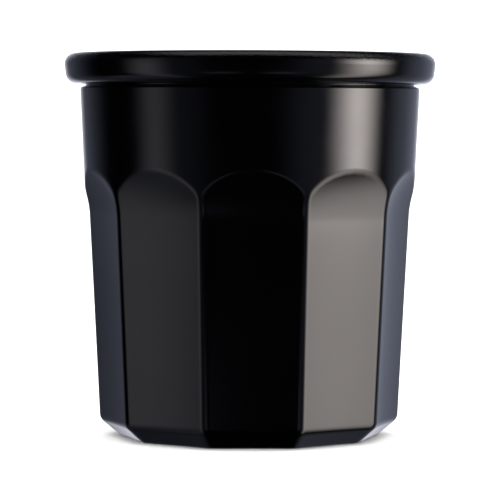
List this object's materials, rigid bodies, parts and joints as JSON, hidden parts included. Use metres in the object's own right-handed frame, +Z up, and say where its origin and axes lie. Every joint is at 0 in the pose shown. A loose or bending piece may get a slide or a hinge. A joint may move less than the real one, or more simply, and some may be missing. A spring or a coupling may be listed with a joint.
{
  "type": "drinking tumbler",
  "caption": "Black pressed-glass tumbler: plain flared collar with a heavy bead rim over flat panels that end in arches, and a bevelled polygonal foot.",
  "frame": {"origin": "centre of the foot, on the plane the tumbler stands on", "axes": "+Z up the tumbler's axis towards the rim; -Y faces the front, 1.5 degrees from the middle of a flat panel"},
  "size_m": [0.089, 0.089, 0.0919],
  "materials": {
    "black_glass": "opaque black soda-lime glass, pressed and fire polished, glossy"
  },
  "bodies": {
    "root": {"tumbler": "black_glass"}
  },
  "joints": []
}
